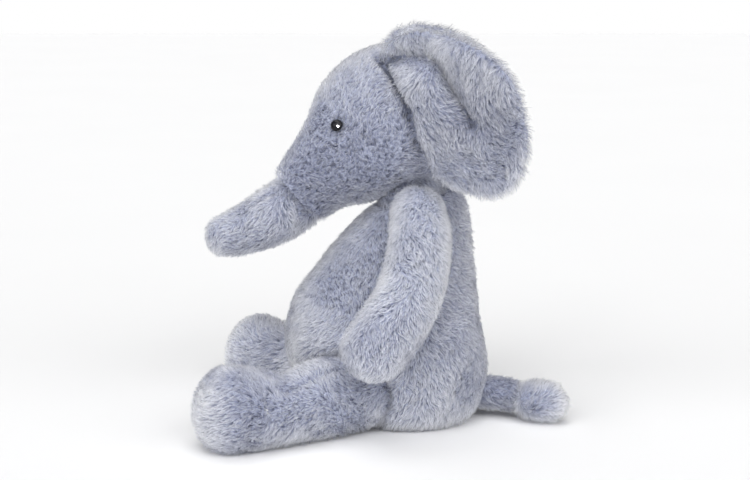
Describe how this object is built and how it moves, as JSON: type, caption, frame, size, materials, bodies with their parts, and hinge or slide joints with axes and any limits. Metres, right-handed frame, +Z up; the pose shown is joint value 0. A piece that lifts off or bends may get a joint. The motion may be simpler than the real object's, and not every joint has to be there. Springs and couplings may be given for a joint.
{
  "type": "plush elephant",
  "caption": "Seated soft toy elephant with pile skins over stuffing, cupped ears, a drooping trunk, hanging arms, legs straight out and a tufted tail.",
  "frame": {"origin": "on the floor, in the flat of the seat, on the plane that divides left from right", "axes": "+Z up, -Y the way the face looks, +X the elephant's own left"},
  "size_m": [0.232, 0.263, 0.292],
  "materials": {
    "pile": "short soft pile fabric, grey-blue, lighter at the tips",
    "fibre": "loose white polyester stuffing",
    "bean_cloth": "plain woven pouch filled with beans",
    "thread": "grey-blue sewing thread",
    "eye_bead": "polished black",
    "washer": "moulded white"
  },
  "bodies": {
    "body": {"body_skin": "pile", "body_stuffing": "fibre", "seat_bean_bag": "bean_cloth"},
    "neck": {"neck_sleeve": "pile", "neck_thread": "thread"},
    "head": {"head_skin": "pile", "head_stuffing": "fibre", "left_eye": "eye_bead", "right_eye": "eye_bead", "left_eye_washer": "washer", "right_eye_washer": "washer"},
    "trunk": {"trunk_skin": "pile", "trunk_stuffing": "fibre"},
    "tail": {"tail_skin": "pile", "tail_stuffing": "fibre", "tail_tuft": "pile", "tail_thread": "thread"},
    "left_ear": {"left_ear_dish_panel": "pile", "left_ear_back_panel": "pile"},
    "left_shoulder": {"left_shoulder_thread": "thread"},
    "left_arm": {"left_arm_skin": "pile", "left_arm_stuffing": "fibre"},
    "left_hip": {"left_hip_thread": "thread"},
    "left_leg": {"left_leg_skin": "pile", "left_leg_stuffing": "fibre"},
    "right_ear": {"right_ear_dish_panel": "pile", "right_ear_back_panel": "pile"},
    "right_shoulder": {"right_shoulder_thread": "thread"},
    "right_arm": {"right_arm_skin": "pile", "right_arm_stuffing": "fibre"},
    "right_hip": {"right_hip_thread": "thread"},
    "right_leg": {"right_leg_skin": "pile", "right_leg_stuffing": "fibre"}
  },
  "joints": [
    {"name": "head_turn", "type": "hinge", "parent": "body", "child": "neck", "pos_m": [0, 0.01, 0.168], "axis": [0, 0, 1], "range_deg": [-25, 25]},
    {"name": "head_nod", "type": "hinge", "parent": "neck", "child": "head", "pos_m": [0, 0.01, 0.168], "axis": [-1, 0, 0], "range_deg": [-6, 12]},
    {"name": "trunk_bend", "type": "hinge", "parent": "head", "child": "trunk", "pos_m": [0, -0.079, 0.1615], "axis": [-1, 0, 0], "range_deg": [-20, 22]},
    {"name": "left_ear_flap", "type": "hinge", "parent": "head", "child": "left_ear", "pos_m": [0.0445, -0.0025, 0.2365], "axis": [0.2381, 0.4061, -0.8823], "range_deg": [-8, 30]},
    {"name": "right_ear_flap", "type": "hinge", "parent": "head", "child": "right_ear", "pos_m": [-0.0445, -0.0025, 0.2365], "axis": [0.2381, -0.4061, 0.8823], "range_deg": [-8, 30]},
    {"name": "left_arm_swing", "type": "hinge", "parent": "body", "child": "left_shoulder", "pos_m": [0.041, 0.012, 0.161], "axis": [-1, 0, 0], "range_deg": [-30, 50]},
    {"name": "left_arm_lift", "type": "hinge", "parent": "left_shoulder", "child": "left_arm", "pos_m": [0.041, 0.012, 0.161], "axis": [0, -1, 0], "range_deg": [0, 35]},
    {"name": "right_arm_swing", "type": "hinge", "parent": "body", "child": "right_shoulder", "pos_m": [-0.041, 0.012, 0.161], "axis": [-1, 0, 0], "range_deg": [-30, 50]},
    {"name": "right_arm_lift", "type": "hinge", "parent": "right_shoulder", "child": "right_arm", "pos_m": [-0.041, 0.012, 0.161], "axis": [0, 1, 0], "range_deg": [0, 35]},
    {"name": "left_leg_swing", "type": "hinge", "parent": "body", "child": "left_hip", "pos_m": [0.041, -0.032, 0.031], "axis": [1, 0, 0], "range_deg": [-3, 32]},
    {"name": "left_leg_splay", "type": "hinge", "parent": "left_hip", "child": "left_leg", "pos_m": [0.041, -0.032, 0.031], "axis": [0, 0, 1], "range_deg": [-6, 16]},
    {"name": "right_leg_swing", "type": "hinge", "parent": "body", "child": "right_hip", "pos_m": [-0.041, -0.032, 0.031], "axis": [1, 0, 0], "range_deg": [-3, 32]},
    {"name": "right_leg_splay", "type": "hinge", "parent": "right_hip", "child": "right_leg", "pos_m": [-0.041, -0.032, 0.031], "axis": [0, 0, -1], "range_deg": [-9, 13]},
    {"name": "tail_wag", "type": "hinge", "parent": "body", "child": "tail", "pos_m": [0, 0.063, 0.018], "axis": [0, 0, 1], "range_deg": [-25, 25]}
  ]
}
